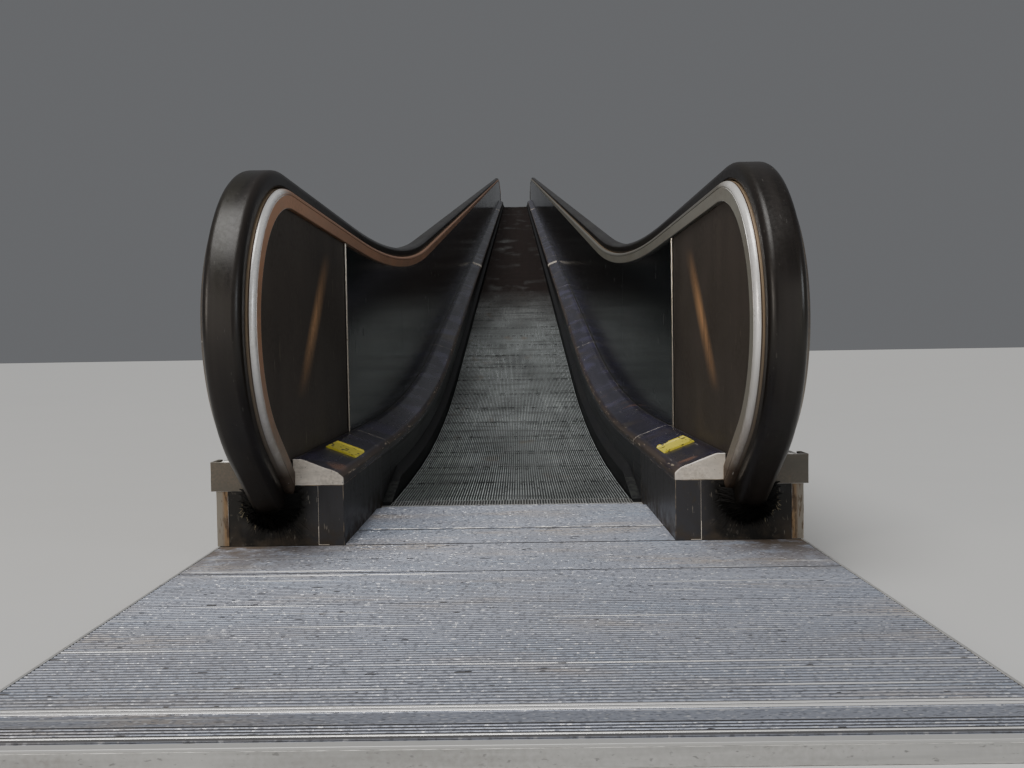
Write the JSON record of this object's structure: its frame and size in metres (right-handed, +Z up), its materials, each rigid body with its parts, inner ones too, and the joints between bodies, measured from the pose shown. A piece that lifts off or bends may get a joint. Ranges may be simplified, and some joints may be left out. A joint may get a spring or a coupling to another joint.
{
  "type": "inclined moving walkway",
  "caption": "Inclined moving walkway with pallet band, combs, black decks and skirts, round newel ends with endless handrails, dark panels and closed housing on steel supports.",
  "frame": {"origin": "on the ground at the middle of the bounding box", "axes": "+X across to the right seen from the lower landing, +Y along the walkway uphill, +Z up"},
  "size_m": [1.54, 33.98, 6.7215],
  "materials": {
    "frame_steel": "worn mill finish",
    "plate_metal": "fine ribbed, worn",
    "comb_metal": "worn bright",
    "pallet_metal": "dark cast with worn bright ribs",
    "skirt_black": "scuffed semi-gloss black",
    "deck_black": "worn semi-gloss purple-black",
    "cap_steel": "bright worn",
    "cladding_steel": "satin",
    "truss_paint": "matt grey",
    "support_paint": "matt grey",
    "panel_glass": "black backed polished glass",
    "newel_bronze": "dark bronze brushed",
    "handrail_rubber": "slightly glossy black",
    "guide_steel": "satin stainless",
    "brush_black": "black bristles",
    "stud_steel": "satin"
  },
  "bodies": {
    "root": {"balustrade_bases": "stud_steel", "bearing_angle": "frame_steel", "comb_lower": "comb_metal", "comb_pallets": "pallet_metal", "comb_plate_lower": "plate_metal", "comb_plate_upper": "plate_metal", "comb_upper": "comb_metal", "deck_end_caps": "cap_steel", "floor_plates_lower": "plate_metal", "floor_plates_upper": "plate_metal", "handrail_guide_left": "guide_steel", "handrail_guide_right": "guide_steel", "handrail_left": "handrail_rubber", "handrail_right": "handrail_rubber", "inlet_rings": "brush_black", "inner_deck_left": "deck_black", "inner_deck_right": "deck_black", "inner_panels_left": "panel_glass", "inner_panels_right": "panel_glass", "landing_frames": "frame_steel", "newel_base_left_lower": "skirt_black", "newel_base_left_upper": "skirt_black", "newel_base_right_lower": "skirt_black", "newel_base_right_upper": "skirt_black", "newel_panel_left_lower": "newel_bronze", "newel_panel_left_upper": "newel_bronze", "newel_panel_right_lower": "newel_bronze", "newel_panel_right_upper": "newel_bronze", "outer_deck_left": "cladding_steel", "outer_deck_right": "cladding_steel", "outer_panels_left": "panel_glass", "outer_panels_right": "panel_glass", "pallets": "pallet_metal", "panel_posts": "stud_steel", "side_cladding_left": "cladding_steel", "side_cladding_right": "cladding_steel", "skirt_guards": "skirt_black", "skirt_left": "skirt_black", "skirt_right": "skirt_black", "support_middle": "support_paint", "support_upper": "support_paint", "thresholds": "plate_metal", "truss_lower": "truss_paint", "truss_middle": "truss_paint", "truss_upper": "truss_paint"}
  },
  "joints": []
}
